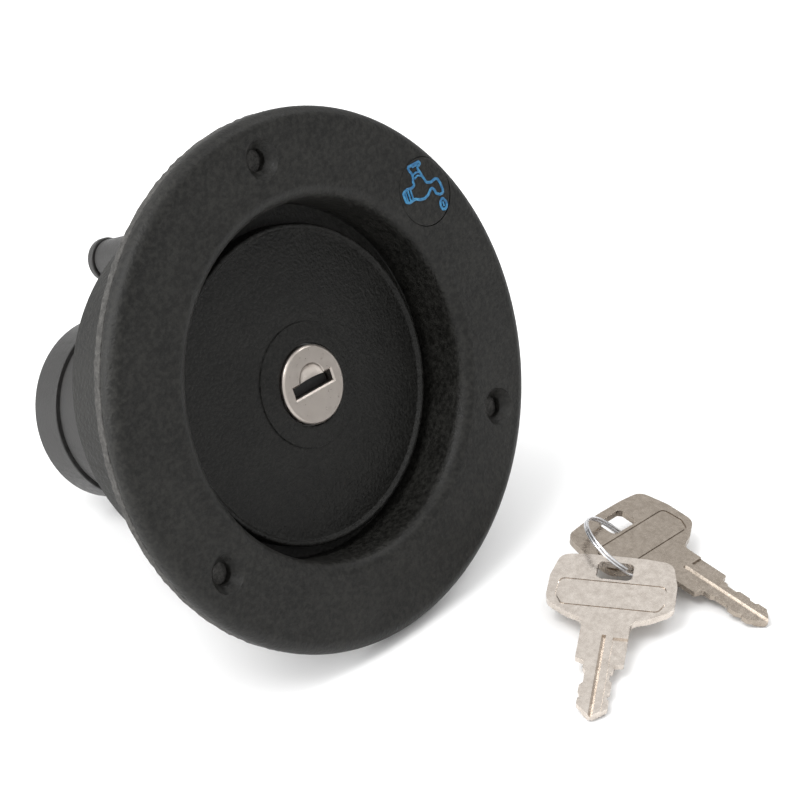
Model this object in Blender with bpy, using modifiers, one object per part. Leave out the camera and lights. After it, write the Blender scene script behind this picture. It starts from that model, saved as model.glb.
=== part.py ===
"""Lockable water filler with a lift-out cap, its lock, and its two keys on a split ring.

The fitting is turned about its own axis. It is modelled about local Z with the flange's front plane at
zero and the rear at negative Z, and an empty leans it back so that the flange's rim and the end of the
hose spout both rest on the ground plane. World +Z is up, the flange faces -Y, and the origin lies on the
ground below the middle of the flange. Lengths are in metres.
"""

import math

import bmesh
import bpy
from mathutils import Matrix, Vector

MM = 0.001
GAP = 0.3 * MM
MERGE = 0.00001

# Flange, recess and bowl
FLANGE_R = 55.0 * MM
FLANGE_EDGE = 2.8 * MM
FLANGE_BACK = -3.3 * MM
GASKET_BACK = -5.6 * MM
HOLE_PITCH_R = 46.6 * MM
HOLE_R = 2.25 * MM
SINK_R = 3.9 * MM
HOLE_ANGLES = (90.0, 210.0, 330.0)
RECESS_R = 36.4 * MM
RECESS_EDGE = 2.0 * MM
LEDGE_Z = -13.3 * MM
LEDGE_THICK = 2.2 * MM
THROAT_R = 28.9 * MM
THROAT_END = -21.6 * MM
BOWL_TOP_R = 38.6 * MM
BOWL_END_R = 37.2 * MM
BOWL_END = -38.1 * MM
WALL = 2.0 * MM

# Hose spout and vent nipple
SPOUT_Y = -4.8 * MM
SPOUT_R = 19.6 * MM
SPOUT_BORE = 17.4 * MM
COLLAR_R = 20.3 * MM
COLLAR_START = -70.9 * MM
SPOUT_END = -79.4 * MM
NIPPLE_Y = 29.5 * MM
NIPPLE_R = 4.35 * MM
NIPPLE_BEAD_R = 4.8 * MM
NIPPLE_BORE = 2.9 * MM
NIPPLE_END = -61.9 * MM
NIPPLE_BEAD = 1.9 * MM

# Symbol disc on the flange
SYMBOL_ANGLE = 33.9
SYMBOL_R = 7.2 * MM
SYMBOL_THICK = 1.2 * MM

# Cap. It rests on the low side of its clearance in the throat.
CAP_SAG = 0.9 * MM
CAP_R = 32.9 * MM
CAP_RIM_Z = -9.1 * MM
CAP_FACE_Z = -9.7 * MM
CAP_SKIRT_Z = -12.9 * MM
PAD_R = 13.0 * MM
PAD_Z = -7.9 * MM
PAD_HOLE_R = 8.6 * MM
CAP_BODY_R = 27.6 * MM
CAP_BODY_TOP = -11.9 * MM
CAP_BODY_END = -27.5 * MM
CAP_FLOOR = -25.1 * MM

# Lock
FACE_R = 8.2 * MM
FACE_Z = -6.9 * MM
FACE_THICK = 1.4 * MM
PLUG_R = 6.6 * MM
PLUG_END = -21.6 * MM
BARREL_IN_R = 6.95 * MM
BARREL_R = 9.4 * MM
BARREL_TOP = -9.7 * MM
BARREL_END = -21.3 * MM
HUB_R = 12.2 * MM
HUB_END = -17.0 * MM
NUT_R = 12.0 * MM
SLOT_W = 10.7 * MM
SLOT_H = 2.4 * MM
WAFER_Z = (-13.6 * MM, -15.3 * MM, -17.0 * MM, -18.7 * MM)
WAFER_THICK = 0.8 * MM
SHUTTER_Y = 1.9 * MM
SHUTTER_Z = -9.1 * MM

# Bolts and the cam that drives them
BOLT_TOP = -22.3 * MM
BOLT_BOTTOM = -24.7 * MM
BOLT_HALF_W = 5.0 * MM
BOLT_OUT = 26.9 * MM
BOLT_TRAVEL = 3.2 * MM
LOCK_TURN = math.radians(90.0)
CAM_MIN_R = 4.4 * MM
TAIL_R = 2.6 * MM

# Keys and split ring
KEY_THICK = 1.6 * MM
KEY_TIP = 41.8 * MM
KEY_FLOOR = 0.9 * MM
RING_R = 8.62 * MM
RING_WIRE = 0.3 * MM
RING_PITCH = 1.26 * MM
FRONT_HOLE = (35.7 * MM, -44.3 * MM, 6.53 * MM)
FRONT_TIP_DIRECTION = 210.8
REAR_HOLE = (51.1 * MM, -33.0 * MM, 5.94 * MM)
REAR_TIP_DIRECTION = 266.1
RING_MIDDLE = (43.53 * MM, -38.85 * MM, 6.48 * MM)
RING_HEADING = math.radians(228.8)
RING_TILT = math.radians(39.4)

CAP_SCREW_R = 19.5 * MM
CAP_SCREW_BORE = 1.6 * MM
BOSS_R = 3.0 * MM
POST_X = 21.9 * MM
CAP_SCREW_ANGLES = (90.0, 210.0, 330.0)

LEAN = math.atan2(FLANGE_R - (COLLAR_R - SPOUT_Y), GASKET_BACK - SPOUT_END)
AXIS_HEIGHT = FLANGE_R * math.cos(LEAN) - GASKET_BACK * math.sin(LEAN)


def clear_scene():
    for obj in list(bpy.data.objects):
        bpy.data.objects.remove(obj)


def new_collection(name):
    collection = bpy.data.collections.new(name)
    bpy.context.scene.collection.children.link(collection)
    return collection


def new_material(name, colour, roughness, metallic=0.0):
    material = bpy.data.materials.new(name)
    material.use_nodes = True
    shader = material.node_tree.nodes["Principled BSDF"]
    shader.inputs["Base Color"].default_value = (*colour, 1.0)
    shader.inputs["Roughness"].default_value = roughness
    shader.inputs["Metallic"].default_value = metallic
    material.diffuse_color = (*colour, 1.0)
    return material


def add_object(name, data, parent, material=None):
    """A node of the model when it has a material, and a hidden cutter or joining shape when it has none."""
    obj = bpy.data.objects.new(name, data)
    obj.parent = parent
    if material:
        data.materials.append(material)
        PARTS.objects.link(obj)
    else:
        CUTTERS.objects.link(obj)
        obj.hide_render = True
        obj.display_type = "WIRE"
    return obj


def add_empty(name, parent=None, location=(0, 0, 0), rotation=(0, 0, 0)):
    empty = bpy.data.objects.new(name, None)
    empty.parent = parent
    empty.location = location
    empty.rotation_euler = rotation
    PARTS.objects.link(empty)
    return empty


def mesh_from(name, bm):
    mesh = bpy.data.meshes.new(name)
    bmesh.ops.recalc_face_normals(bm, faces=bm.faces)
    bm.to_mesh(mesh)
    bm.free()
    mesh.shade_smooth()
    mesh.set_sharp_from_angle(angle=math.radians(35))
    return mesh


def box(name, low, high, parent, material=None):
    bm = bmesh.new()
    size = Vector(high) - Vector(low)
    middle = (Vector(high) + Vector(low)) / 2
    matrix = Matrix.Translation(middle) @ Matrix.Diagonal((*size, 1.0))
    bmesh.ops.create_cube(bm, size=1.0, matrix=matrix)
    return add_object(name, mesh_from(name, bm), parent, material)


def cone(name, z_low, z_high, r_low, r_high, parent, material=None, at=(0, 0), sides=32):
    bm = bmesh.new()
    middle = Vector((at[0], at[1], (z_low + z_high) / 2))
    bmesh.ops.create_cone(bm, cap_ends=True, segments=sides, radius1=r_low, radius2=r_high,
                          depth=z_high - z_low, matrix=Matrix.Translation(middle))
    return add_object(name, mesh_from(name, bm), parent, material)


def turned(name, profile, parent, material=None, steps=96, at=(0, 0), closed=True):
    """Turns a profile of (radius, z) points about the part's own axis. It runs clockwise: down outside."""
    mesh = bpy.data.meshes.new(name)
    count = len(profile)
    edges = [(i, i + 1) for i in range(count - 1)]
    if closed:
        edges.append((count - 1, 0))
    mesh.from_pydata([(r, 0, z) for r, z in profile], edges, [])
    obj = add_object(name, mesh, parent, material)
    obj.location = (at[0], at[1], 0)
    screw = obj.modifiers.new("turn", "SCREW")
    screw.axis = "Z"
    screw.steps = steps
    screw.render_steps = steps
    screw.use_merge_vertices = True
    screw.merge_threshold = MERGE
    screw.use_smooth_shade = True
    return obj


def arc(centre_r, centre_z, radius, start, end, count):
    """Points on an arc in the profile plane. Angles are in degrees, from +r towards +z."""
    angles = [math.radians(start + (end - start) * i / count) for i in range(count + 1)]
    return [(centre_r + radius * math.cos(a), centre_z + radius * math.sin(a)) for a in angles]


def combine(obj, other, operation):
    modifier = obj.modifiers.new(f"{operation.lower()}_{other.name}", "BOOLEAN")
    modifier.operation = operation
    modifier.solver = "EXACT"
    modifier.object = other


def cut(obj, cutter):
    combine(obj, cutter, "DIFFERENCE")


def join(obj, other):
    combine(obj, other, "UNION")


def outline_curve(name, outlines, thickness):
    """A flat plate about z = 0. The first outline is its edge, and each further one is a hole."""
    curve = bpy.data.curves.new(name, "CURVE")
    curve.dimensions = "2D"
    curve.fill_mode = "BOTH"
    curve.extrude = thickness / 2
    for points in outlines:
        spline = curve.splines.new("POLY")
        spline.points.add(len(points) - 1)
        for point, (x, y) in zip(spline.points, points):
            point.co = (x, y, 0, 1)
        spline.use_cyclic_u = True
    return curve


def plate(name, outlines, thickness, parent, material=None, location=(0, 0, 0)):
    obj = add_object(name, outline_curve(name, outlines, thickness), parent, material)
    obj.location = location
    return obj


def polar(radius, degrees):
    return radius * math.cos(math.radians(degrees)), radius * math.sin(math.radians(degrees))


def circle(radius, count, centre=(0, 0)):
    return [(centre[0] + radius * math.cos(math.tau * i / count),
             centre[1] + radius * math.sin(math.tau * i / count)) for i in range(count)]


def wire(name, points, radius, parent, material, resolution=2):
    curve = bpy.data.curves.new(name, "CURVE")
    curve.dimensions = "3D"
    curve.bevel_depth = radius
    curve.bevel_resolution = resolution
    curve.use_fill_caps = True
    spline = curve.splines.new("POLY")
    spline.points.add(len(points) - 1)
    for point, co in zip(spline.points, points):
        point.co = (*co, 1)
    return add_object(name, curve, parent, material)


def build_flange(axis):
    """One moulding: flange, recess, ledge with its throat, and the bowl behind."""
    recess_low = RECESS_R - 0.2 * MM
    profile = arc(FLANGE_R - FLANGE_EDGE, -FLANGE_EDGE, FLANGE_EDGE, 90, 0, 6)
    profile += [(FLANGE_R, FLANGE_BACK), (BOWL_TOP_R, FLANGE_BACK), (BOWL_END_R, BOWL_END)]
    profile += [(BOWL_END_R - WALL, BOWL_END), (recess_low, LEDGE_Z - LEDGE_THICK)]
    profile += [(THROAT_R + WALL, LEDGE_Z - LEDGE_THICK), (THROAT_R + WALL, THROAT_END)]
    profile += [(THROAT_R, THROAT_END), (THROAT_R, LEDGE_Z - 0.8 * MM), (THROAT_R + 0.8 * MM, LEDGE_Z)]
    profile += [(recess_low, LEDGE_Z)]
    profile += arc(RECESS_R + RECESS_EDGE, -RECESS_EDGE, RECESS_EDGE, 180, 90, 5)
    flange = turned("mounting_flange", profile, axis, BLACK)
    for degrees in HOLE_ANGLES:
        at = polar(HOLE_PITCH_R, degrees)
        sink_depth = SINK_R - HOLE_R
        hole = cone("hole_cutter", -6 * MM, 1 * MM, HOLE_R, HOLE_R, axis, at=at)
        sink = cone("sink_cutter", -sink_depth, 0.5 * MM, HOLE_R, SINK_R + 0.5 * MM, axis, at=at)
        cut(flange, hole)
        cut(flange, sink)
    pocket = cone("symbol_pocket", -SYMBOL_THICK - GAP, 1 * MM, SYMBOL_R + GAP, SYMBOL_R + GAP, axis,
                  at=polar(HOLE_PITCH_R, SYMBOL_ANGLE), sides=48)
    cut(flange, pocket)


def build_gasket(axis):
    inner = BOWL_TOP_R + GAP
    outer = FLANGE_R - 0.1 * MM
    profile = [(inner, FLANGE_BACK - GAP), (outer, FLANGE_BACK - GAP), (outer, GASKET_BACK)]
    profile += [(inner, GASKET_BACK)]
    turned("panel_gasket", profile, axis, GASKET)


def build_rear_adapter(axis):
    """Back plate in the bowl's rear end, with the hose spout set low and the vent nipple above it."""
    plate_front = BOWL_END + 2.2 * MM
    outer = BOWL_END_R - WALL - GAP
    adapter = cone("rear_adapter", BOWL_END, plate_front, outer, outer, axis, BLACK, sides=96)
    overlap = BOWL_END + 0.5 * MM
    spout = [(0, overlap), (SPOUT_R, overlap), (SPOUT_R, COLLAR_START)]
    spout += [(COLLAR_R, COLLAR_START - 0.3 * MM), (COLLAR_R, SPOUT_END + 0.6 * MM)]
    spout += [(COLLAR_R - 0.6 * MM, SPOUT_END), (0, SPOUT_END)]
    bead_start = NIPPLE_END + NIPPLE_BEAD
    nipple = [(0, overlap), (NIPPLE_R, overlap), (NIPPLE_R, bead_start)]
    nipple += [(NIPPLE_BEAD_R, bead_start - 0.3 * MM), (NIPPLE_BEAD_R, NIPPLE_END + 0.5 * MM)]
    nipple += [(NIPPLE_BEAD_R - 0.5 * MM, NIPPLE_END), (0, NIPPLE_END)]
    join(adapter, turned("spout_tube", spout, axis, steps=72, at=(0, SPOUT_Y), closed=False))
    join(adapter, turned("nipple_tube", nipple, axis, steps=32, at=(0, NIPPLE_Y), closed=False))
    cut(adapter, cone("spout_bore", SPOUT_END - 1 * MM, plate_front + 1 * MM, SPOUT_BORE, SPOUT_BORE, axis,
                      at=(0, SPOUT_Y), sides=72))
    cut(adapter, cone("nipple_bore", NIPPLE_END - 1 * MM, plate_front + 1 * MM, NIPPLE_BORE, NIPPLE_BORE,
                      axis, at=(0, NIPPLE_Y), sides=32))


def build_symbol(axis):
    """Round insert on the flange, with a tap and a drop standing on it as one thin outline each."""
    at = polar(HOLE_PITCH_R, SYMBOL_ANGLE)
    cone("symbol_disc", -SYMBOL_THICK, 0, SYMBOL_R, SYMBOL_R, axis, BLACK, at=at, sides=48)
    tap = [(-2.6, 5.4), (-2.6, 6.3), (0.9, 6.3), (0.9, 5.7), (-0.3, 5.4), (0.1, 4.4), (0.5, 3.1), (1.1, 1.6)]
    tap += [(2.3, 1.2), (3.7, 1.5), (4.4, 1.2), (4.9, 0), (4.9, -1.3), (4.7, -2.1), (3.6, -2.1), (2.8, -1.4)]
    tap += [(2.6, -0.6), (2.2, 0), (1.6, -0.1), (0.6, -0.9), (-0.7, -1.4), (-2, -1.2), (-3.3, -0.5), (-4.1, -0.7)]
    tap += [(-5, -0.8), (-6.1, -0.4), (-6.2, 1.8), (-4.7, 2.2), (-3.2, 1.9), (-2.3, 2.2), (-2.5, 3), (-2.1, 3.6)]
    tap += [(-2.2, 4.8)]
    drop = [(4.1, -2.8), (4.8, -4), (4.7, -5), (4, -5.5), (3.2, -5.3), (2.9, -4.5), (3.1, -3.6)]
    for name, points in (("tap_symbol", tap), ("drop_symbol", drop)):
        outline = [(x * MM, y * MM) for x, y in points]
        plate(name, [outline], 0.25 * MM, axis, BLUE, location=(*at, 0.2 * MM))


def build_cap_cover(axis):
    """The cap's face: a shallow dished disc with a rim, a raised pad and a hub for the lock."""
    under = CAP_FACE_Z - 1.9 * MM
    profile = [(PAD_HOLE_R, PAD_Z), (PAD_R - 0.4 * MM, PAD_Z), (PAD_R, PAD_Z - 0.4 * MM)]
    profile += [(PAD_R + 0.3 * MM, PAD_Z - 0.9 * MM), (CAP_R - 3.0 * MM, CAP_FACE_Z)]
    profile += [(CAP_R - 1.8 * MM, CAP_FACE_Z + 0.15 * MM), (CAP_R - 1.4 * MM, CAP_RIM_Z)]
    profile += [(CAP_R - 0.4 * MM, CAP_RIM_Z), (CAP_R, CAP_RIM_Z - 0.4 * MM), (CAP_R, CAP_SKIRT_Z)]
    profile += [(CAP_R - 1.7 * MM, CAP_SKIRT_Z), (CAP_R - 1.7 * MM, under), (HUB_R, under)]
    profile += [(HUB_R, HUB_END), (BARREL_R + GAP, HUB_END), (BARREL_R + GAP, BARREL_TOP + GAP)]
    profile += [(PAD_HOLE_R, BARREL_TOP + GAP)]
    cover = turned("cap_cover", profile, axis, BLACK)
    for degrees in CAP_SCREW_ANGLES:
        at = polar(CAP_SCREW_R, degrees)
        boss = cone("screw_boss", CAP_FLOOR + GAP, under + 0.5 * MM, BOSS_R, BOSS_R, axis, at=at, sides=24)
        bore = cone("screw_bore", CAP_FLOOR - 1 * MM, -14 * MM, CAP_SCREW_BORE, CAP_SCREW_BORE, axis,
                    at=at, sides=24)
        join(cover, boss)
        cut(cover, bore)


def build_cap_body(axis):
    """Cup behind the cover. It enters the throat and guides the two bolts on its floor."""
    inner = CAP_BODY_R - WALL
    profile = [(inner, CAP_BODY_TOP), (CAP_BODY_R, CAP_BODY_TOP), (CAP_BODY_R, CAP_BODY_END + 1.0 * MM)]
    profile += [(CAP_BODY_R - 1.0 * MM, CAP_BODY_END), (8.2 * MM, CAP_BODY_END)]
    profile += [(7.6 * MM, CAP_BODY_END - 2.6 * MM), (0, CAP_BODY_END - 2.6 * MM)]
    profile += [(0, CAP_BODY_END - 0.8 * MM), (5.8 * MM, CAP_BODY_END - 0.8 * MM), (5.8 * MM, CAP_FLOOR)]
    profile += [(inner, CAP_FLOOR)]
    body = turned("cap_body", profile, axis, BLACK, closed=False)
    body.data.edges.add(1)
    body.data.edges[-1].vertices = (len(profile) - 1, 0)
    reach = CAP_BODY_R + 2 * MM
    half = BOLT_HALF_W + GAP
    for side in (-1, 1):
        ends = sorted((side * (inner - 1 * MM), side * reach))
        low = (ends[0], -half, CAP_FLOOR + 0.02 * MM)
        cut(body, box("bolt_window", low, (ends[1], half, BOLT_TOP + GAP), axis))
    for side_x in (-1, 1):
        for side_y in (-1, 1):
            xs = sorted((side_x * 13 * MM, side_x * (inner - 1.0 * MM)))
            ys = sorted((side_y * half, side_y * (half + 1.4 * MM)))
            low = (xs[0], ys[0], CAP_FLOOR - 0.5 * MM)
            join(body, box("bolt_rail", low, (xs[1], ys[1], BOLT_TOP), axis))
    for side in (-1, 1):
        post = box("spring_post", (side * POST_X - 0.7 * MM, -1.5 * MM, CAP_FLOOR - 0.5 * MM),
                   (side * POST_X + 0.7 * MM, 1.5 * MM, BOLT_TOP + 0.3 * MM), axis)
        join(body, post)
    for degrees in CAP_SCREW_ANGLES:
        at = polar(CAP_SCREW_R, degrees)
        shank = cone("shank_hole", CAP_BODY_END - 1 * MM, CAP_FLOOR + 1 * MM, CAP_SCREW_BORE,
                     CAP_SCREW_BORE, axis, at=at, sides=24)
        cut(body, shank)


def build_cap_seal(axis):
    outer = CAP_R - 1.7 * MM - GAP
    inner = CAP_BODY_R + GAP
    top = CAP_FACE_Z - 1.9 * MM - GAP
    bottom = LEDGE_Z + GAP
    profile = [(inner, top), (outer, top), (outer, bottom + 0.3 * MM)]
    profile += [(outer - 0.3 * MM, bottom), (inner, bottom)]
    turned("cap_seal", profile, axis, RUBBER)


def build_cap_screws(axis):
    """Three screws that hold the cup to the cover's bosses, heads outside at the rear."""
    head_top = CAP_BODY_END - GAP
    for number, degrees in enumerate(CAP_SCREW_ANGLES, 1):
        at = polar(CAP_SCREW_R, degrees)
        profile = [(0, -15 * MM), (1.0 * MM, -15 * MM), (1.3 * MM, -15.6 * MM), (1.3 * MM, head_top)]
        profile += [(2.6 * MM, head_top), (2.6 * MM, head_top - 0.9 * MM), (1.9 * MM, head_top - 1.5 * MM)]
        profile += [(0, head_top - 1.5 * MM)]
        screw = turned(f"cap_screw_{number}", profile, axis, STEEL, steps=24, at=at, closed=False)
        for turn in (0, 90):
            size = (2.6, 0.6) if turn == 0 else (0.6, 2.6)
            low = (at[0] - size[0] * MM / 2, at[1] - size[1] * MM / 2, head_top - 2 * MM)
            high = (at[0] + size[0] * MM / 2, at[1] + size[1] * MM / 2, head_top - 0.7 * MM)
            drive = box("screw_drive", low, high, axis)
            cut(screw, drive)


def build_lock_barrel(axis):
    profile = [(BARREL_IN_R, BARREL_TOP), (BARREL_R, BARREL_TOP), (BARREL_R, BARREL_END)]
    profile += [(BARREL_IN_R, BARREL_END)]
    turned("lock_barrel", profile, axis, ZINC, steps=64)
    nut = cone("barrel_nut", HUB_END - 3.0 * MM, HUB_END - GAP, NUT_R, NUT_R, axis, STEEL, sides=6)
    cut(nut, cone("nut_bore", -25 * MM, -10 * MM, BARREL_R + GAP, BARREL_R + GAP, axis, sides=64))


def build_lock_plug(turning):
    """Turning core of the lock: face disc, keyway, shutter pocket, wafer slots and drive tail."""
    edge = 0.35 * MM
    profile = [(0, FACE_Z), (FACE_R - edge, FACE_Z), (FACE_R, FACE_Z - edge), (FACE_R, FACE_Z - FACE_THICK)]
    profile += [(PLUG_R, FACE_Z - FACE_THICK), (PLUG_R, PLUG_END), (TAIL_R, PLUG_END)]
    profile += [(TAIL_R, BOLT_BOTTOM), (0, BOLT_BOTTOM)]
    plug = turned("lock_plug", profile, turning, NICKEL, steps=64, closed=False)
    half_w = SLOT_W / 2
    half_h = SLOT_H / 2
    keyway = box("keyway", (-half_w, -half_h, -20.3 * MM), (half_w, half_h, 0), turning)
    cut(plug, keyway)
    pocket_low = (-half_w, -half_h - 0.2 * MM, -12.4 * MM)
    cut(plug, box("shutter_pocket", pocket_low, (half_w, 2.9 * MM, SHUTTER_Z + 0.8 * MM), turning))
    bm = bmesh.new()
    edge_y = half_h - 0.3 * MM
    dish = Matrix.Translation((0, edge_y, FACE_Z)) @ Matrix.Diagonal((3.5 * MM, 3.6 * MM, 1.35 * MM, 1))
    bmesh.ops.create_uvsphere(bm, u_segments=32, v_segments=16, radius=1.0, matrix=dish)
    relief = add_object("face_relief", mesh_from("face_relief", bm), turning)
    cut(relief, box("relief_limit", (-5 * MM, -5 * MM, -10 * MM), (5 * MM, edge_y, -4 * MM), turning))
    cut(plug, relief)
    for z in WAFER_Z:
        half_slot = WAFER_THICK / 2 + 0.15 * MM
        slot_low = (-8 * MM, -3.4 * MM, z - half_slot)
        cut(plug, box("wafer_slot", slot_low, (8 * MM, 3.4 * MM, z + half_slot), turning))
    cut(plug, cone("tail_bore", -30 * MM, -21.0 * MM, 1.4 * MM, 1.4 * MM, turning, sides=24))


def build_wafers(turning):
    """Sliding wafers in the core, drawn level with it as a key holds them."""
    for number, z in enumerate(WAFER_Z, 1):
        half_x = 5.55 * MM
        half_y = 3.1 * MM
        outer = [(-half_x, -half_y), (half_x, -half_y), (half_x, half_y), (-half_x, half_y)]
        shift = (0.3 if number % 2 else -0.3) * MM
        hole = [(shift + x * 3.9 * MM, y * 1.3 * MM) for x, y in ((-1, -1), (1, -1), (1, 1), (-1, 1))]
        plate(f"wafer_{number}", [outer, hole], WAFER_THICK, turning, BRASS, location=(0, 0, z))


def build_shutter(turning):
    """Sprung flap that closes the key slot from inside. Its origin is on its hinge line."""
    shutter = add_empty("shutter_hinge", turning, (0, SHUTTER_Y, SHUTTER_Z))
    flap = [(-0.3, 0.3), (0.1, 0.5), (0.45, 0.2), (0.45, -0.2), (0.2, -0.45), (0.2, -3.1), (-0.3, -3.1)]
    outline = [(x * MM, y * MM) for x, y in flap]
    obj = plate("slot_shutter", [outline], SLOT_W - 2 * GAP, shutter, SHUTTER_BLACK)
    obj.rotation_euler = (0, math.radians(-90), 0)


def cam_outline():
    """Two-lobed spiral. Its radius grows evenly with the angle, so a bolt moves evenly with the key."""
    points = []
    steps = 12
    for quarter in range(4):
        for i in range(steps):
            part = i / steps
            rise = part if quarter % 2 == 0 else 1 - part
            angle = (quarter + part) * LOCK_TURN
            radius = CAM_MIN_R + BOLT_TRAVEL * rise
            points.append((radius * math.cos(angle), radius * math.sin(angle)))
    return points


def build_cam(turning):
    thick = BOLT_TOP - BOLT_BOTTOM - 0.2 * MM
    middle = (BOLT_TOP + BOLT_BOTTOM) / 2
    outline = cam_outline()
    bore = circle(TAIL_R + GAP, 32)
    plate("drive_cam", [outline, bore], thick, turning, ZINC, location=(0, 0, middle))
    head_top = BOLT_BOTTOM - GAP
    profile = [(0, -21.6 * MM), (1.1 * MM, -21.6 * MM), (1.1 * MM, head_top), (4.2 * MM, head_top)]
    profile += [(4.2 * MM, head_top - 1.6 * MM), (3.6 * MM, head_top - 2.2 * MM), (0, head_top - 2.2 * MM)]
    turned("cam_screw", profile, turning, STEEL, steps=24, closed=False)


def build_bolt(side, parent):
    """Flat bolt with a blunt nose against the cam and a window for its return spring and post."""
    nose = CAM_MIN_R + 0.45 * MM
    half = BOLT_HALF_W
    corner = 1.0 * MM
    shoulder = 13.5 * MM
    tip = 0.5 * MM
    outline = [(nose, tip), (shoulder, half), (BOLT_OUT - corner, half), (BOLT_OUT, half - corner)]
    outline += [(x, -y) for x, y in reversed(outline)]
    window = [(14.2 * MM, -2.2 * MM), (22.9 * MM, -2.2 * MM), (22.9 * MM, 2.2 * MM), (14.2 * MM, 2.2 * MM)]
    shapes = [[(side * x, y) for x, y in shape] for shape in (outline, window)]
    name = "right" if side > 0 else "left"
    middle = (BOLT_TOP + BOLT_BOTTOM) / 2
    plate(f"bolt_{name}", shapes, BOLT_TOP - BOLT_BOTTOM, parent, ZINC, location=(0, 0, middle))
    turns = 5
    count = turns * 12
    start = 14.6 * MM
    length = 6.1 * MM
    coil = 0.8 * MM
    points = [(side * (start + length * i / count), coil * math.cos(math.tau * i / 12),
               middle + coil * math.sin(math.tau * i / 12)) for i in range(count + 1)]
    wire(f"bolt_spring_{name}", points, 0.16 * MM, parent, STEEL, resolution=0)


def key_outline():
    """Key blank: broad bow, stem with two stop shoulders, and a bitted blade with a point."""
    bow = [(-12.4, 3.2), (-11.2, 4.0), (-8.8, 4.4), (0, 4.6), (8.8, 4.4), (11.2, 4.0), (12.4, 3.2)]
    bow += [(13.0, 1.8), (13.3, -2.6), (13.4, -7.4), (13.3, -9.8), (12.6, -11.4), (11.0, -12.6)]
    bow += [(8.5, -13.4), (6.4, -14.2), (5.4, -15.2), (5.0, -16.6)]
    right = [(4.8, -26.5), (3.2, -26.9), (3.0, -28.5), (2.5, -28.9), (2.5, -31.2), (3.1, -31.7), (3.1, -34.4)]
    right += [(2.6, -34.9), (2.6, -36.3), (3.1, -36.7), (3.1, -38.9), (2.2, -39.7)]
    left = [(-2.1, -39.9), (-3.1, -38.7), (-3.1, -37.2), (-2.6, -36.7), (-3.2, -35.5), (-3.2, -33.6)]
    left += [(-2.5, -32.7), (-2.5, -29.5), (-3.1, -28.7), (-3.1, -26.8), (-3.7, -26.3), (-4.9, -25.9)]
    left += [(-x, y) for x, y in reversed(bow)][:len(bow) - 7]
    points = bow + right + [(0, -KEY_TIP / MM)] + left
    return [(x * MM, y * MM) for x, y in points]


def key_hole():
    points = [(-3.8, -1.9), (-3.8, 1.8), (-3.1, 2.6), (3.1, 2.6), (3.8, 1.8), (3.8, -1.9), (2.7, -2.6)]
    points += [(-2.7, -2.6)]
    return [(x * MM, y * MM) for x, y in points]


def build_key(name, hole, tip_direction, parent):
    """A key lying with its tip down on the ground and its bow raised by the ring. Origin at its ring hole."""
    slope = math.asin((hole[2] - KEY_FLOOR) / KEY_TIP)
    heading = math.radians(tip_direction) + math.pi / 2
    turn = Matrix.Rotation(heading, 4, "Z") @ Matrix.Rotation(slope, 4, "X")
    key = plate(name, [key_outline(), key_hole()], KEY_THICK, parent, KEY_NICKEL, location=hole)
    key.rotation_euler = turn.to_euler()


def build_ring(name, middle, heading, tilt, parent):
    """Split ring of two turns through both key holes. Heading is the level line that it is tilted about."""
    chord = Vector((math.cos(heading), math.sin(heading), 0))
    side = Vector((chord.y, -chord.x, 0)) * math.cos(tilt) + Vector((0, 0, math.sin(tilt)))
    normal = chord.cross(side)
    steps = 36
    total = 2 * steps - 2
    points = []
    for i in range(total + 1):
        angle = math.tau * i / steps
        lift = RING_PITCH * (i / total - 0.5)
        turn = chord * math.cos(angle) + side * math.sin(angle)
        points.append(Vector(middle) + RING_R * turn + normal * lift)
    wire(name, points, RING_WIRE, parent, STEEL, resolution=2)


clear_scene()
PARTS = new_collection("lockable_water_filler")
CUTTERS = new_collection("cutters")
CUTTERS.hide_render = True

BLACK = new_material("black_plastic", (0.032, 0.032, 0.030), 0.55)
GASKET = new_material("gasket_rubber", (0.055, 0.055, 0.052), 0.85)
RUBBER = new_material("seal_rubber", (0.03, 0.03, 0.03), 0.7)
BLUE = new_material("blue_print", (0.02, 0.21, 0.48), 0.4)
NICKEL = new_material("lock_nickel", (0.55, 0.52, 0.48), 0.35, 1.0)
ZINC = new_material("zinc_alloy", (0.5, 0.5, 0.5), 0.45, 1.0)
STEEL = new_material("bright_steel", (0.62, 0.62, 0.63), 0.25, 1.0)
BRASS = new_material("wafer_brass", (0.6, 0.45, 0.2), 0.4, 1.0)
SHUTTER_BLACK = new_material("shutter_black", (0.012, 0.012, 0.012), 0.5)
KEY_NICKEL = new_material("key_nickel", (0.62, 0.55, 0.49), 0.35, 1.0)

fitting = add_empty("fitting_axis", None, (0, 0, AXIS_HEIGHT), (math.pi / 2 - LEAN, 0, 0))
build_flange(fitting)
build_gasket(fitting)
build_rear_adapter(fitting)
build_symbol(fitting)

cap = add_empty("cap_axis", fitting, (0, -CAP_SAG, 0))
build_cap_cover(cap)
build_cap_body(cap)
build_cap_seal(cap)
build_cap_screws(cap)
build_lock_barrel(cap)

lock = add_empty("lock_axis", cap)
build_lock_plug(lock)
build_wafers(lock)
build_shutter(lock)
build_cam(lock)
for bolt_side in (-1, 1):
    build_bolt(bolt_side, cap)

keys = add_empty("key_set")
build_key("front_key", FRONT_HOLE, FRONT_TIP_DIRECTION, keys)
build_key("rear_key", REAR_HOLE, REAR_TIP_DIRECTION, keys)
build_ring("key_ring", RING_MIDDLE, RING_HEADING, RING_TILT, keys)
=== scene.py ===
"""Studio scene of a lockable water filler with its two keys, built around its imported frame."""

import math

import bmesh
import bpy
from mathutils import Matrix, Vector


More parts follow.
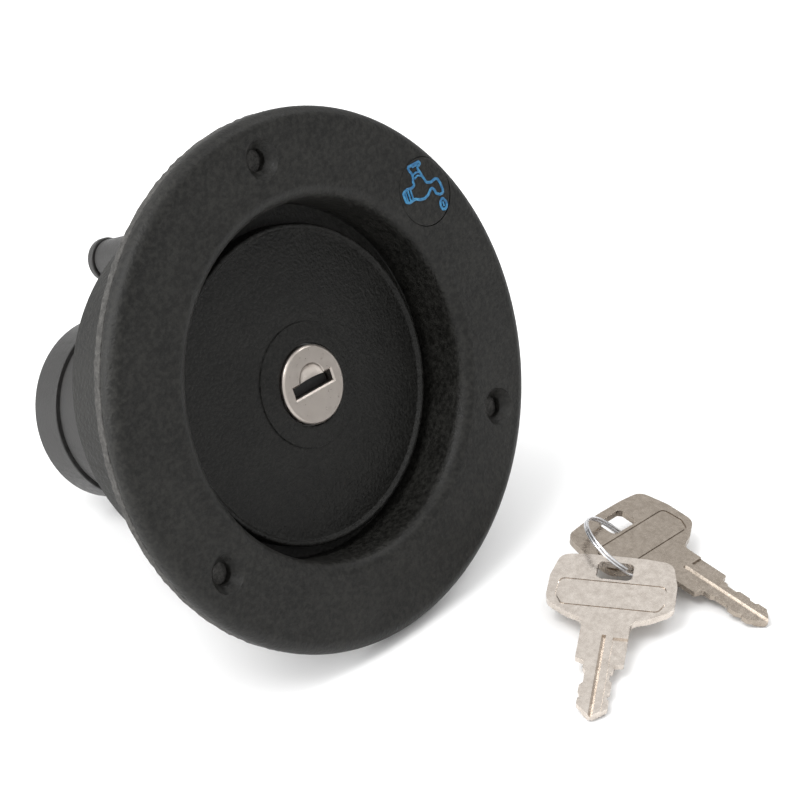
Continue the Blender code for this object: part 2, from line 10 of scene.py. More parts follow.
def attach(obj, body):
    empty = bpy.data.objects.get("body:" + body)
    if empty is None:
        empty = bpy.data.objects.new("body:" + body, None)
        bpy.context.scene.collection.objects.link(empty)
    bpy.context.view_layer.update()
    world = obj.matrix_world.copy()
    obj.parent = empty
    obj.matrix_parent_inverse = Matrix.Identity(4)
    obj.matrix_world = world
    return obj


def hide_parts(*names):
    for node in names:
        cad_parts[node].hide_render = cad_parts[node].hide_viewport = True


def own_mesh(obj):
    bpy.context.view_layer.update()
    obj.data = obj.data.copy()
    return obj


MM = 0.001
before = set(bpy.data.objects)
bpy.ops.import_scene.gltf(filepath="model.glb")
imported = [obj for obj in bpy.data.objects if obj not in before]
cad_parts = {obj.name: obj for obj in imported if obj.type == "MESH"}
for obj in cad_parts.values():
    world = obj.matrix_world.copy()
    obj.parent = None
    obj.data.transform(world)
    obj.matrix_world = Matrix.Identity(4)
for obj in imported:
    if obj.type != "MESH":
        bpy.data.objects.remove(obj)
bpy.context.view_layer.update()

# The fitting's own axes: local Z is its front axis, and it leans back on its rim and spout.
RIM_R = 55.0
RIM_BACK = -5.6
SPOUT_LOW = 25.1
SPOUT_END = -79.4
LEAN = math.atan2(RIM_R - SPOUT_LOW, RIM_BACK - SPOUT_END)
HEIGHT = (RIM_R * math.cos(LEAN) - RIM_BACK * math.sin(LEAN)) * MM
OWN = Matrix.Translation((0, 0, HEIGHT)) @ Matrix.Rotation(math.pi / 2 - LEAN, 4, "X") @ Matrix.Scale(MM, 4)
CAP = OWN @ Matrix.Translation((0, -0.9, 0))


# ---------------------------------------------------------------- materials

def new_material(name, colour, roughness, metallic=0.0):
    mat = bpy.data.materials.new(name)
    mat.use_nodes = True
    shader = mat.node_tree.nodes["Principled BSDF"]
    shader.inputs["Base Color"].default_value = (*colour, 1)
    shader.inputs["Roughness"].default_value = roughness
    shader.inputs["Metallic"].default_value = metallic
    return mat, mat.node_tree.nodes, mat.node_tree.links, shader


def noise(nodes, links, coords, scale, detail=3.0, rough=0.55, stretch=None):
    tex = nodes.new("ShaderNodeTexNoise")
    tex.inputs["Scale"].default_value = scale
    tex.inputs["Detail"].default_value = detail
    tex.inputs["Roughness"].default_value = rough
    source = coords
    if stretch:
        mapping = nodes.new("ShaderNodeMapping")
        mapping.inputs["Scale"].default_value = stretch
        links.new(coords, mapping.inputs["Vector"])
        source = mapping.outputs["Vector"]
    links.new(source, tex.inputs["Vector"])
    return tex.outputs["Fac"]


def ramp(nodes, links, value, low, high, a, b):
    node = nodes.new("ShaderNodeMapRange")
    node.inputs["From Min"].default_value = low
    node.inputs["From Max"].default_value = high
    node.inputs["To Min"].default_value = a
    node.inputs["To Max"].default_value = b
    links.new(value, node.inputs["Value"])
    return node.outputs["Result"]


def mix_colour(nodes, links, factor, a, b):
    node = nodes.new("ShaderNodeMix")
    node.data_type = "RGBA"
    links.new(factor, node.inputs["Factor"])
    node.inputs["A"].default_value = (*a, 1)
    node.inputs["B"].default_value = (*b, 1)
    return node.outputs["Result"]


def bump(nodes, links, height, strength, distance, previous=None):
    node = nodes.new("ShaderNodeBump")
    node.inputs["Strength"].default_value = strength
    node.inputs["Distance"].default_value = distance
    links.new(height, node.inputs["Height"])
    if previous:
        links.new(previous, node.inputs["Normal"])
    return node.outputs["Normal"]


def plastic(name, dark, light, roughness, grain, depth, specular=0.4, mottle=900.0):
    """Moulded plastic: leather grain in relief, mottled colour, and clouds and scuffs in roughness."""
    mat, nodes, links, shader = new_material(name, dark, roughness)
    shader.inputs["Specular IOR Level"].default_value = specular
    coords = nodes.new("ShaderNodeTexCoord").outputs["Object"]
    clouds = noise(nodes, links, coords, 90.0, 5.0, 0.6)
    spots = noise(nodes, links, coords, mottle, 4.0, 0.65)
    fine = noise(nodes, links, coords, grain, 3.0, 0.55)
    scuffs = noise(nodes, links, coords, 260.0, 6.0, 0.7, (1.0, 0.25, 1.0))
    both = nodes.new("ShaderNodeMath")
    both.operation = "ADD"
    links.new(ramp(nodes, links, clouds, 0.35, 0.7, 0.0, 0.3), both.inputs[0])
    links.new(ramp(nodes, links, spots, 0.42, 0.64, 0.0, 0.7), both.inputs[1])
    links.new(mix_colour(nodes, links, both.outputs["Value"], dark, light), shader.inputs["Base Color"])
    rough = nodes.new("ShaderNodeMath")
    rough.operation = "ADD"
    links.new(ramp(nodes, links, spots, 0.3, 0.7, roughness - 0.10, roughness + 0.10), rough.inputs[0])
    links.new(ramp(nodes, links, scuffs, 0.55, 0.75, 0.0, 0.12), rough.inputs[1])
    links.new(rough.outputs["Value"], shader.inputs["Roughness"])
    links.new(bump(nodes, links, fine, depth, 0.00040), shader.inputs["Normal"])
    return mat


def metal(name, dark, light, roughness, depth=0.12, grain=900.0, tarnish=420.0):
    """Plated metal: fine tumbled scratches, small dents and faint tarnish."""
    mat, nodes, links, shader = new_material(name, light, roughness, 1.0)
    coords = nodes.new("ShaderNodeTexCoord").outputs["Object"]
    cloud = noise(nodes, links, coords, tarnish, 5.0, 0.65)
    lines = noise(nodes, links, coords, grain, 4.0, 0.7)
    links.new(mix_colour(nodes, links, ramp(nodes, links, cloud, 0.3, 0.7, 0, 1), dark, light),
              shader.inputs["Base Color"])
    links.new(ramp(nodes, links, lines, 0.3, 0.7, roughness - 0.08, roughness + 0.12),
              shader.inputs["Roughness"])
    first = bump(nodes, links, lines, depth, 0.00006)
    links.new(bump(nodes, links, cloud, 0.06, 0.0001, first), shader.inputs["Normal"])
    return mat


FLANGE_MAT = plastic("flange_plastic", (0.0035, 0.0034, 0.0028), (0.0195, 0.0190, 0.0168), 0.50, 1300,
                     0.40, 0.28)
CAP_MAT = plastic("cap_plastic", (0.0030, 0.0030, 0.0025), (0.0135, 0.0132, 0.0118), 0.42, 1500,
                  0.85, 0.22, 1500.0)
BOWL_MAT = plastic("bowl_plastic", (0.016, 0.0155, 0.015), (0.026, 0.025, 0.024), 0.40, 2200, 0.15)
GASKET_MAT = plastic("gasket_rubber", (0.030, 0.029, 0.027), (0.085, 0.082, 0.077), 0.75, 1100, 1.0, 0.4)
SEAL_MAT = plastic("seal_rubber", (0.012, 0.012, 0.012), (0.02, 0.02, 0.02), 0.6, 2400, 0.3, 0.3)
SHUTTER_MAT = plastic("shutter_black", (0.004, 0.004, 0.004), (0.007, 0.007, 0.007), 0.5, 2400, 0.2, 0.3)
BLUE_MAT = plastic("blue_paint", (0.004, 0.085, 0.210), (0.045, 0.240, 0.430), 0.45, 1400, 0.5, 0.5, 1100.0)
NICKEL_MAT = metal("satin_nickel", (0.415, 0.375, 0.340), (0.445, 0.405, 0.370), 0.33, depth=0.05)
# Both keys carry the same nickel plating: the front key's copy is lighter as painted light, and the rear
# key's copy is darker as painted shade.
FRONT_KEY_LIT_MAT = metal("key_nickel_front_painted_light", (0.52, 0.465, 0.415), (0.71, 0.65, 0.59), 0.24, 0.06, 1500.0,
                      700.0)
REAR_KEY_SHADED_MAT = metal("key_nickel_rear_painted_shade", (0.31, 0.265, 0.22), (0.43, 0.375, 0.32), 0.24, 0.06, 1500.0,
                     700.0)
RING_MAT = metal("ring_steel", (0.62, 0.62, 0.63), (0.80, 0.80, 0.82), 0.2)
STEEL_MAT = metal("plated_steel", (0.45, 0.45, 0.46), (0.62, 0.62, 0.63), 0.3)
ZINC_MAT = metal("cast_zinc", (0.38, 0.38, 0.38), (0.52, 0.52, 0.52), 0.48)
BRASS_MAT = metal("stamped_brass", (0.45, 0.32, 0.12), (0.66, 0.50, 0.24), 0.35)


# ---------------------------------------------------------------- shape tools

def link(obj):
    bpy.context.scene.collection.objects.link(obj)
    return obj


def from_bmesh(name, bm):
    mesh = bpy.data.meshes.new(name)
    bmesh.ops.remove_doubles(bm, verts=bm.verts, dist=1e-5)
    bmesh.ops.recalc_face_normals(bm, faces=bm.faces)
    bm.to_mesh(mesh)
    bm.free()
    return link(bpy.data.objects.new(name, mesh))


def arc(x, y, radius, start, end, count=8):
    angles = [math.radians(start + (end - start) * i / count) for i in range(count + 1)]
    return [(x + radius * math.cos(a), y + radius * math.sin(a)) for a in angles]


def rounded(points, radius, count=5):
    """The outline with each corner rounded. Radius is one number, or one per corner."""
    radii = radius if isinstance(radius, (list, tuple)) else [radius] * len(points)
    result = []
    total = len(points)
    for i, corner in enumerate(points):
        here = Vector(corner)
        back = Vector(points[i - 1]) - here
        ahead = Vector(points[(i + 1) % total]) - here
        angle = back.angle(ahead)
        if radii[i] <= 0 or angle > math.radians(176):
            result.append(tuple(here))
            continue
        reach = min(radii[i] / math.tan(angle / 2), 0.45 * back.length, 0.45 * ahead.length)
        start = here + back.normalized() * reach
        end = here + ahead.normalized() * reach
        for k in range(count + 1):
            t = k / count
            result.append(tuple(start * (1 - t) ** 2 + here * 2 * t * (1 - t) + end * t ** 2))
    return result


def lathe(name, profile, steps=192, at=(0, 0), closed=True):
    """Turns (radius, z) points about the line through at, in millimetres."""
    bm = bmesh.new()
    rings = []
    for k in range(steps):
        a = math.tau * k / steps
        ring = [(at[0] + r * math.cos(a), at[1] + r * math.sin(a), z) for r, z in profile]
        rings.append([bm.verts.new(point) for point in ring])
    count = len(profile)
    for k in range(steps):
        one, two = rings[k], rings[(k + 1) % steps]
        for i in range(count if closed else count - 1):
            j = (i + 1) % count
            corners = [one[i], two[i], two[j], one[j]]
            bm.faces.new(corners)
    return from_bmesh(name, bm)


def block(name, low, high):
    bm = bmesh.new()
    size = Vector(high) - Vector(low)
    middle = (Vector(high) + Vector(low)) / 2
    bmesh.ops.create_cube(bm, size=1.0, matrix=Matrix.Translation(middle) @ Matrix.Diagonal((*size, 1)))
    return from_bmesh(name, bm)


def slab(name, outlines, low, high):
    """A plate between two heights. The first outline is its edge, and each further one a hole."""
    curve = bpy.data.curves.new(name, "CURVE")
    curve.dimensions = "2D"
    curve.fill_mode = "BOTH"
    curve.extrude = (high - low) / 2
    for points in outlines:
        spline = curve.splines.new("POLY")
        spline.points.add(len(points) - 1)
        for point, (x, y) in zip(spline.points, points):
            point.co = (x, y, 0, 1)
        spline.use_cyclic_u = True
    made = meshed(link(bpy.data.objects.new(name, curve)))
    made.data.transform(Matrix.Translation((0, 0, (low + high) / 2)))
    return made


def tube(name, points, radius, cyclic=False, sides=6):
    curve = bpy.data.curves.new(name, "CURVE")
    curve.dimensions = "3D"
    curve.bevel_depth = radius
    curve.bevel_resolution = sides
    curve.use_fill_caps = not cyclic
    spline = curve.splines.new("POLY")
    spline.points.add(len(points) - 1)
    for point, co in zip(spline.points, points):
        point.co = (*co, 1)
    spline.use_cyclic_u = cyclic
    return meshed(link(bpy.data.objects.new(name, curve)))


def chamfer_cutter(name, half_x, half_y, z, width):
    """A shallow funnel that breaks the edges of a rectangular hole."""
    bm = bmesh.new()
    rows = []
    for grow, height in ((0.0, z - width), (width + 0.5, z + 0.5)):
        corners = ((-1, -1), (1, -1), (1, 1), (-1, 1))
        rows.append([bm.verts.new((x * (half_x + grow), y * (half_y + grow), height)) for x, y in corners])
    bm.faces.new(rows[0])
    bm.faces.new(rows[1])
    for i in range(4):
        bm.faces.new([rows[0][i], rows[0][(i + 1) % 4], rows[1][(i + 1) % 4], rows[1][i]])
    return from_bmesh(name, bm)


def evaluated_mesh(obj):
    bpy.context.view_layer.update()
    graph = bpy.context.evaluated_depsgraph_get()
    return bpy.data.meshes.new_from_object(obj.evaluated_get(graph))


def meshed(obj):
    """Replaces a curve object by the welded mesh that it makes."""
    mesh = evaluated_mesh(obj)
    name = obj.name
    bpy.data.objects.remove(obj)
    bm = bmesh.new()
    bm.from_mesh(mesh)
    return from_bmesh(name, bm)


def apply_modifiers(obj):
    mesh = evaluated_mesh(obj)
    obj.modifiers.clear()
    obj.data = mesh


def combine(obj, other, operation="DIFFERENCE"):
    modifier = obj.modifiers.new("combine", "BOOLEAN")
    modifier.operation = operation
    modifier.solver = "MANIFOLD"
    modifier.object = other
    apply_modifiers(obj)
    bpy.data.objects.remove(other)


def soften(obj, width, segments=2, angle=30):
    bevel = obj.modifiers.new("bevel", "BEVEL")
    bevel.width = width
    bevel.segments = segments
    bevel.limit_method = "ANGLE"
    bevel.angle_limit = math.radians(angle)
    bevel.use_clamp_overlap = True
    apply_modifiers(obj)


def finish_piece(obj, body, material, nodes, matrix=OWN, angle=32):
    """Places the piece, shades it, and lets it stand for its nodes."""
    obj.data.transform(matrix)
    obj.data.materials.clear()
    obj.data.materials.append(material)
    obj.data.shade_smooth()
    obj.data.set_sharp_from_angle(angle=math.radians(angle))
    normals = obj.modifiers.new("normals", "WEIGHTED_NORMAL")
    normals.keep_sharp = True
    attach(obj, body)
    if nodes:
        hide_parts(*nodes)
    return obj


def polar(radius, degrees):
    return radius * math.cos(math.radians(degrees)), radius * math.sin(math.radians(degrees))


# ---------------------------------------------------------------- housing

HOLE_RING = 46.6
HOLE_ANGLES = (90, 210, 330)
SYMBOL_ANGLE = 33.9
SPOUT_Y = -4.8
NIPPLE_Y = 29.5


def make_flange():
    profile = arc(52.2, -2.8, 2.8, 90, 0, 12) + [(55, -3.2), (54.9, -3.3)]
    profile += [(38.6, -3.3), (37.25, -37.7), (36.95, -38.1), (35.4, -38.1), (35.2, -37.9)]
    profile += [(36.2, -15.5), (30.9, -15.5), (30.9, -21.4), (30.7, -21.6), (29.1, -21.6), (28.9, -21.4)]
    profile += arc(29.7, -14.1, 0.8, 180, 90, 6) + [(36.0, -13.3), (36.2, -13.1)]
    profile += arc(39.4, -3.0, 3.0, 180, 90, 16)
    flange = lathe("flange_moulding", profile, 224)
    for degrees in HOLE_ANGLES:
        at = polar(HOLE_RING, degrees)
        sink = [(0, 1), (4.35, 1), (4.2, 0.2), (4.0, -0.05), (3.85, -0.25), (2.35, -1.9), (2.25, -2.2)]
        sink += [(2.25, -6), (0, -6)]
        combine(flange, lathe("sink", sink, 48, at, closed=False))
    at = polar(HOLE_RING, SYMBOL_ANGLE)
    combine(flange, lathe("pocket", [(0, 1), (7.3, 1), (7.3, -1.5), (0, -1.5)], 72, at, closed=False))
    finish_piece(flange, "housing", FLANGE_MAT, ["mounting_flange"])


def make_gasket():
    """Rubber sheet with a rough cut edge."""
    outer = arc(54.6, -3.95, 0.3, 90, 0, 3) + arc(54.6, -5.25, 0.3, 0, -90, 3)
    gasket = lathe("gasket_sheet", [(38.9, -3.65)] + outer + [(38.9, -5.55)], 288)
    for vert in gasket.data.vertices:
        x, y, z = vert.co
        radius = math.hypot(x, y)
        if radius > 50:
            a = math.atan2(y, x)
            wave = 0.10 * math.sin(37 * a) * math.sin(91 * a + 1.3 * z) + 0.06 * math.sin(143 * a + z)
            vert.co.x *= 1 + (wave - 0.04) / radius
            vert.co.y *= 1 + (wave - 0.04) / radius
    finish_piece(gasket, "housing", GASKET_MAT, ["panel_gasket"], angle=50)


def make_adapter():
    back = [(0, -35.9), (34.6, -35.9), (34.9, -36.2), (34.9, -37.8), (34.6, -38.1), (0, -38.1)]
    plate = lathe("rear_fitting", back, 160, closed=False)
    spout = [(0, -37.6), (20.6, -37.6), (20.2, -38.3), (19.75, -39.2), (19.6, -40.2), (19.6, -70.4)]
    spout += [(19.35, -70.6), (19.35, -71.0), (20.1, -71.1)] + arc(20.0, -71.4, 0.3, 90, 0, 3)
    spout += arc(19.7, -78.8, 0.6, 0, -90, 5) + [(0, -79.4)]
    combine(plate, lathe("spout", spout, 160, (0, SPOUT_Y), closed=False), "UNION")
    nipple = [(0, -37.6), (6.4, -37.6), (6.1, -40.0), (5.7, -44.0), (5.3, -48.0), (4.9, -52.0), (4.55, -56.0)]
    nipple += [(4.35, -59.4), (4.1, -59.6), (4.1, -59.9)]
    nipple += arc(4.4, -60.3, 0.4, 90, 0, 4) + arc(4.2, -61.4, 0.5, 0, -90, 5) + [(0, -61.9)]
    combine(plate, lathe("nipple", nipple, 64, (0, NIPPLE_Y), closed=False), "UNION")
    bore = [(0, -30), (17.4, -30), (17.4, -78.9), (17.95, -79.5), (17.95, -81), (0, -81)]
    combine(plate, lathe("bore", bore, 128, (0, SPOUT_Y), closed=False))
    vent = [(0, -30), (2.9, -30), (2.9, -61.6), (3.3, -62.0), (3.3, -63), (0, -63)]
    combine(plate, lathe("vent", vent, 48, (0, NIPPLE_Y), closed=False))
    finish_piece(plate, "housing", BOWL_MAT, ["rear_adapter"])


def make_symbol():
    """Tap and drop drawn as raised painted lines on the round insert."""
    at = polar(HOLE_RING, SYMBOL_ANGLE)
    insert = [(0, 0)] + arc(6.9, -0.3, 0.3, 90, 0, 4) + [(7.2, -1.2), (0, -1.2)]
    disc = lathe("symbol_insert", insert, 96, at, closed=False)
    envelope = [(0, 0)] + arc(52.2, -2.8, 2.8, 90, 0, 12) + [(55, -4), (0, -4)]
    combine(disc, lathe("envelope", envelope, 224, closed=False), "INTERSECT")
    finish_piece(disc, "housing", FLANGE_MAT, ["symbol_disc"])
    tap = [(-2.6, 5.4), (-2.7, 6.2), (0.8, 6.3), (0.9, 5.7), (-0.3, 5.4), (0.1, 4.4), (0.5, 3.1), (1.1, 1.6)]
    tap += [(2.3, 1.2), (3.7, 1.5), (4.4, 1.2), (4.8, 0.0), (4.9, -1.3), (4.7, -2.0), (3.7, -2.0)]
    tap += [(2.8, -1.4), (2.6, -0.6), (2.2, 0.0), (1.6, -0.1), (0.6, -0.9), (-0.7, -1.3), (-2.0, -1.1)]
    tap += [(-3.3, -0.5)]
    tap += [(-4.2, -0.6), (-5.1, -0.7), (-6.0, -0.3), (-6.1, 1.7), (-4.7, 2.1), (-3.3, 1.9), (-2.4, 2.2)]
    tap += [(-2.5, 3.0), (-2.1, 3.8), (-2.2, 4.8)]
    drop = [(4.1, -2.8), (4.8, -4.0), (4.6, -5.0), (4.0, -5.3), (3.2, -5.1), (3.0, -4.3), (3.2, -3.5)]
    outlines = (("tap", rounded(tap, 0.5, 3)), ("drop", rounded(drop, 0.4, 3)))
    for name, points in outlines:
        path = [(at[0] + x, at[1] + y, 0.02) for x, y in points]
        line = tube(f"{name}_lines", path, 0.31, cyclic=True, sides=3)
        line.data.transform(Matrix.Diagonal((1, 1, 0.6, 1)))
        finish_piece(line, "housing", BLUE_MAT, [f"{name}_symbol"], angle=60)
    extras = [[(-5.5, -0.5), (-5.5, 1.8)], [(-4.7, -0.6), (-4.7, 2.0)], [(-3.9, -0.4), (-3.9, 1.9)]]
    extras += [[(-2.2, 4.2), (-1.0, 4.5), (0.0, 4.3)], [(-1.9, 3.4), (-0.8, 3.8), (0.3, 3.3)]]
    extras += [[(3.8, -3.6), (3.9, -4.6)], [(-1.6, 5.8), (0.0, 5.9)]]
    for number, points in enumerate(extras, 1):
        line = tube(f"tap_detail_{number}", [(at[0] + x, at[1] + y, 0.02) for x, y in points], 0.22, sides=3)
        finish_piece(line, "housing", BLUE_MAT, [], angle=60)


# ---------------------------------------------------------------- cap and lock

CAP_SCREW_RING = 19.5
WAFER_Z = (-13.6, -15.3, -17.0, -18.7)


def make_cap():
    profile = [(8.5, -7.75), (8.65, -7.68), (9.2, -7.72), (10.4, -7.95), (11.6, -8.20), (12.6, -8.30)]
    profile += [(12.85, -8.36), (12.95, -8.62), (13.1, -8.64), (13.3, -8.56)]
    profile += [(14.5, -8.70), (22.0, -9.15), (29.4, -9.70), (31.1, -9.84), (31.45, -9.80), (31.75, -9.5)]
    profile += [(31.95, -9.22)] + arc(32.2, -9.35, 0.25, 130, 90, 3) + arc(32.3, -9.7, 0.6, 80, 0, 8)
    profile += [(32.9, -12.7), (32.7, -12.9), (31.3, -12.9), (31.2, -11.6), (12.2, -11.6), (12.2, -17.0)]
    profile += [(9.7, -17.0), (9.7, -9.4), (8.5, -9.4)]
    cover = lathe("cap_face", profile, 224)
    boss = [(0, -11.0), (3, -11.0), (3, -24.8), (0, -24.8)]
    blind = [(0, -14), (1.6, -14), (1.6, -27), (0, -27)]
    for degrees in HOLE_ANGLES:
        at = polar(CAP_SCREW_RING, degrees)
        combine(cover, lathe("boss", boss, 40, at, closed=False), "UNION")
        combine(cover, lathe("blind", blind, 32, at, closed=False))
    finish_piece(cover, "cap", CAP_MAT, ["cap_cover"], CAP)


def make_plug():
    profile = [(0, -6.9), (7.72, -6.9), (8.12, -7.2), (8.2, -7.4), (8.2, -8.3), (6.6, -8.3), (6.6, -21.6)]
    profile += [(2.6, -21.6), (2.6, -24.7), (0, -24.7)]
    plug = lathe("lock_face", profile, 128, closed=False)
    combine(plug, block("keyway", (-5.35, -1.2, -20.3), (5.35, 1.2, 0)))
    combine(plug, block("pocket", (-5.35, -1.4, -12.4), (5.35, 2.9, -8.3)))
    combine(plug, chamfer_cutter("keyway_edge", 5.35, 1.2, -6.9, 0.35))
    bm = bmesh.new()
    dish = Matrix.Translation((0, 0.9, -6.9)) @ Matrix.Diagonal((3.5, 3.6, 1.35, 1))
    bmesh.ops.create_uvsphere(bm, u_segments=64, v_segments=32, radius=1.0, matrix=dish)
    relief = from_bmesh("dish", bm)
    combine(relief, block("below", (-5, -5, -10), (5, 0.9, -4)))
    combine(plug, relief)
    rim = lathe("rim", [(0, -6.4), (4.2, -6.4), (3.3, -7.25), (0, -7.25)], 64, (0, 0.9), closed=False)
    combine(rim, block("below_rim", (-5, -5, -10), (5, 0.9, -4)))
    combine(plug, rim)
    for z in WAFER_Z:
        combine(plug, block("wafer_slot", (-8, -3.4, z - 0.55), (8, 3.4, z + 0.55)))
    combine(plug, lathe("tail_bore", [(0, -21), (1.4, -21), (1.4, -30), (0, -30)], 32, closed=False))
    finish_piece(plug, "lock", NICKEL_MAT, ["lock_plug"], CAP)


def make_springs():
    """Return springs, which on the real lock close up against the posts as the bolts go out; here they are
    fixed coils on the cap.
    """
    for side, name in ((-1, "left"), (1, "right")):
        turns = 5
        count = turns * 20
        points = [(side * (14.6 + 6.1 * i / count), 0.8 * math.cos(math.tau * i / 20),
                   -23.5 + 0.8 * math.sin(math.tau * i / 20)) for i in range(count + 1)]
        spring = tube(f"return_spring_{name}", points, 0.16, sides=2)
        finish_piece(spring, "cap", STEEL_MAT, [f"bolt_spring_{name}"], CAP, 60)
        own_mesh(spring)


# ---------------------------------------------------------------- keys

KEY_THICK = 1.6
KEY_TIP = 41.8
KEY_FLOOR = 0.9
FRONT_HOLE = (35.7, -44.3, 6.53)
REAR_HOLE = (51.1, -33.0, 5.94)
RING_MIDDLE = (43.53, -38.85, 6.48)
RING_HEADING = math.radians(228.8)
RING_TILT = math.radians(39.4)
RING_R = 8.62
RING_PITCH = 1.26
RING_WIRE = 0.3


def key_outline():
    top = [(-11.8, 3.9), (-6.0, 4.5), (0, 4.6), (6.0, 4.5), (11.8, 3.9), (13.3, -3.0), (13.3, -10.2)]
    top += [(8.6, -13.3), (4.95, -14.6)]
    right = [(4.9, -26.6), (3.2, -26.9), (3.0, -28.5), (2.5, -28.9), (2.5, -31.2), (3.1, -31.7), (3.1, -34.4)]
    right += [(2.6, -34.9), (2.6, -36.3), (3.1, -36.7), (3.1, -38.9), (0, -KEY_TIP)]
    left = [(-3.1, -38.7), (-3.1, -37.2), (-2.6, -36.7), (-3.2, -35.5), (-3.2, -33.6), (-2.5, -32.7)]
    left += [(-2.5, -29.5), (-3.1, -28.7), (-3.1, -26.8), (-4.95, -26.1), (-4.95, -14.6), (-8.6, -13.3)]
    left += [(-13.3, -10.2), (-13.3, -3.0)]
    radii = [3.0, 4, 4, 4, 3.0, 6, 3.4, 4, 2.2] + [0.5] + [0.25] * 10 + [0.5] + [0.25] * 10 + [2.2, 4, 3.4, 6]
    return rounded(top + right + left, radii, 6)


def v_groove(name, half, low_y, high_y, side, depth, width):
    """A V cut along the blade, standing on the face that side points to."""
    bm = bmesh.new()
    rows = []
    for y in (low_y, high_y):
        section = ((-width, 0.5), (0, -depth), (width, 0.5))
        rows.append([bm.verts.new((x, y, side * (half + z))) for x, z in section])
    bm.faces.new(rows[0])
    bm.faces.new(rows[1])
    for i in range(3):
        bm.faces.new([rows[0][i], rows[0][(i + 1) % 3], rows[1][(i + 1) % 3], rows[1][i]])
    return from_bmesh(name, bm)


def make_key(name, node, hole, tip_direction, body, material):
    ring_hole = [(-3.8, -1.9), (-3.8, 1.8), (-3.1, 2.6), (3.1, 2.6), (3.8, 1.8), (3.8, -1.9)]
    ring_hole += [(2.7, -2.6), (-2.7, -2.6)]
    half = KEY_THICK / 2
    key = slab(name, [key_outline(), rounded(ring_hole, 0.5, 3)], -half, half)
    soften(key, 0.18, 2, 40)
    panel = [(-11.2, -3.3), (11.2, -3.3), (11.5, -8.6), (10.2, -11.2), (-10.2, -11.2), (-11.5, -8.6)]
    inner = [(x * 0.972, (y + 7.2) * 0.93 - 7.2) for x, y in panel]
    for side in (-1, 1):
        low, high = (half - 0.3, half + 1) if side > 0 else (-half - 1, -half + 0.3)
        combine(key, slab("line", [rounded(panel, 1.6, 5), rounded(inner, 1.4, 5)], low, high))
        combine(key, v_groove("groove", half, -46.0, -19.0, side, 0.5, 0.9))
        step = (half - 0.45, half + 1) if side > 0 else (-half - 1, -half + 0.45)
        xs = (1.9, 6.0) if side > 0 else (-6.0, -1.9)
        combine(key, block("mill", (xs[0], -46.0, step[0]), (xs[1], -19.5, step[1])))
    slope = math.asin((hole[2] - KEY_FLOOR) / KEY_TIP)
    heading = math.radians(tip_direction) + math.pi / 2
    turn = Matrix.Rotation(heading, 4, "Z") @ Matrix.Rotation(slope, 4, "X")
    place = Matrix.Scale(MM, 4) @ Matrix.Translation(hole) @ turn
    finish_piece(key, body, material, [node], place, 25)


def make_ring():
    chord = Vector((math.cos(RING_HEADING), math.sin(RING_HEADING), 0))
    side = Vector((chord.y, -chord.x, 0)) * math.cos(RING_TILT) + Vector((0, 0, math.sin(RING_TILT)))
    normal = chord.cross(side)
    steps = 96
    total = 2 * steps - 5
    points = []
    for i in range(total + 1):
        angle = math.tau * i / steps
        lift = RING_PITCH * (i / total - 0.5)
        spoke = RING_R * (chord * math.cos(angle) + side * math.sin(angle))
        points.append(Vector(RING_MIDDLE) + spoke + normal * lift)
    ring = tube("split_ring", points, RING_WIRE, sides=4)
    finish_piece(ring, "key_ring", RING_MAT, ["key_ring"], Matrix.Scale(MM, 4), 50)


# ---------------------------------------------------------------- nodes kept from the frame

def dress_frame():
    """Finishes for the inner pieces, which keep the frame's own shapes."""
    looks = {"cap_body": CAP_MAT, "cap_seal": SEAL_MAT, "lock_barrel": ZINC_MAT, "barrel_nut": STEEL_MAT,
             "drive_cam": ZINC_MAT, "cam_screw": STEEL_MAT, "bolt_left": ZINC_MAT, "bolt_right": ZINC_MAT,
             "slot_shutter": SHUTTER_MAT}
    for number in (1, 2, 3):
        looks[f"cap_screw_{number}"] = STEEL_MAT
    for number in (1, 2, 3, 4):
        looks[f"wafer_{number}"] = BRASS_MAT
    for name, material in looks.items():
        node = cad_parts[name]
        for slot in node.material_slots:
            slot.material = material


# ---------------------------------------------------------------- stage

def make_stage():
    bm = bmesh.new()
    bmesh.ops.create_grid(bm, x_segments=2, y_segments=2, size=6.0)
    floor = from_bmesh("studio_floor", bm)
    mat, nodes, links, shader = new_material("studio_paper", (0.93, 0.93, 0.93), 0.9)
    shader.inputs["Specular IOR Level"].default_value = 0.1
    floor.data.materials.append(mat)
    floor.location.z = -0.0002


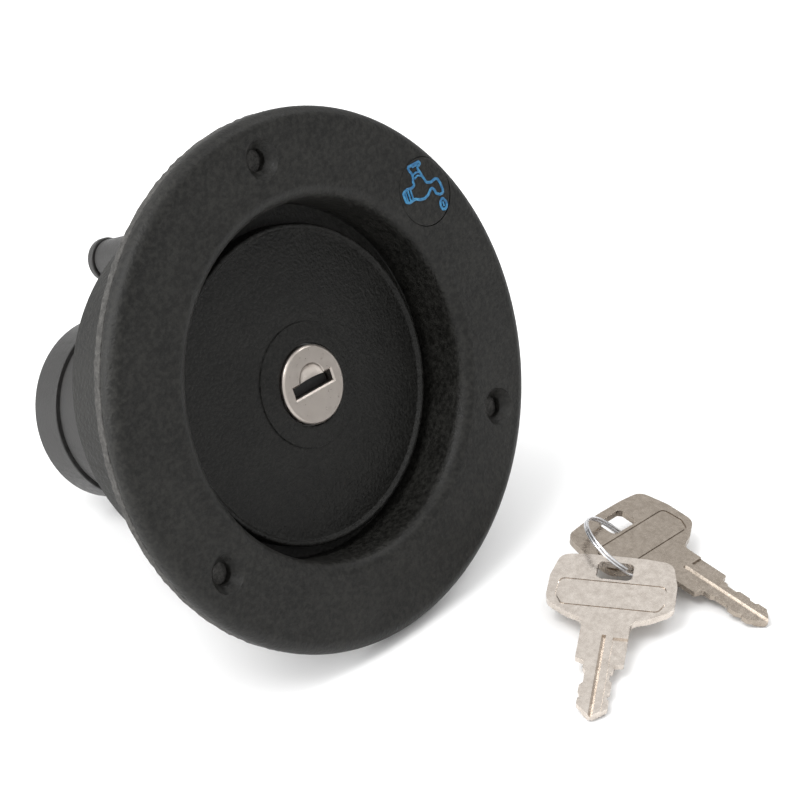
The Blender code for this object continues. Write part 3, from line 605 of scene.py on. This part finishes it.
def area_light(name, at, target, size, power):
    data = bpy.data.lights.new(name, "AREA")
    data.shape = "DISK"
    data.size = size
    data.energy = power
    lamp = link(bpy.data.objects.new(name, data))
    lamp.location = at
    lamp.rotation_euler = (Vector(target) - Vector(at)).to_track_quat("-Z", "Y").to_euler()


def make_lights():
    world = bpy.data.worlds.new("studio")
    bpy.context.scene.world = world
    world.use_nodes = True
    nodes, links = world.node_tree.nodes, world.node_tree.links
    background = nodes["Background"]
    background.inputs["Color"].default_value = (1, 1, 1, 1)
    towards = nodes.new("ShaderNodeVectorMath")
    towards.operation = "DOT_PRODUCT"
    links.new(nodes.new("ShaderNodeTexCoord").outputs["Generated"], towards.inputs[0])
    towards.inputs[1].default_value = (-0.70, 0.35, 0.62)
    strength = ramp(nodes, links, towards.outputs["Value"], -1.0, 1.0, 0.25, 1.45)
    links.new(strength, background.inputs["Strength"])
    area_light("key_light", (-0.55, 0.12, 1.0), (0, 0, 0.05), 0.6, 6.0)
    area_light("side_light", (-1.0, 0.5, 0.5), (0, 0, 0.05), 0.5, 6.5)
    area_light("top_light", (0.58, -0.10, 0.75), (0, 0, 0.05), 0.26, 1.3)


def make_camera():
    data = bpy.data.cameras.new("camera")
    data.sensor_width = 36.0
    data.lens = 104.5
    camera = link(bpy.data.objects.new("camera", data))
    forward = Vector((0.62845, 0.58145, -0.51668)).normalized()
    right = forward.cross(Vector((0.39642, 0.33210, 0.85590))).normalized()
    up = right.cross(forward)
    rotation = Matrix((right, up, -forward)).transposed().to_4x4()
    camera.matrix_world = Matrix.Translation((-0.28471, -0.28083, 0.28915)) @ rotation
    bpy.context.scene.camera = camera


make_flange()
make_gasket()
make_adapter()
make_symbol()
make_cap()
make_plug()
make_springs()
make_key("key_in_front", "front_key", FRONT_HOLE, 210.8, "front_key", FRONT_KEY_LIT_MAT)
make_key("key_behind", "rear_key", REAR_HOLE, 266.1, "rear_key", REAR_KEY_SHADED_MAT)
make_ring()
dress_frame()
make_stage()
make_lights()
make_camera()
bpy.context.scene.view_settings.view_transform = "Standard"
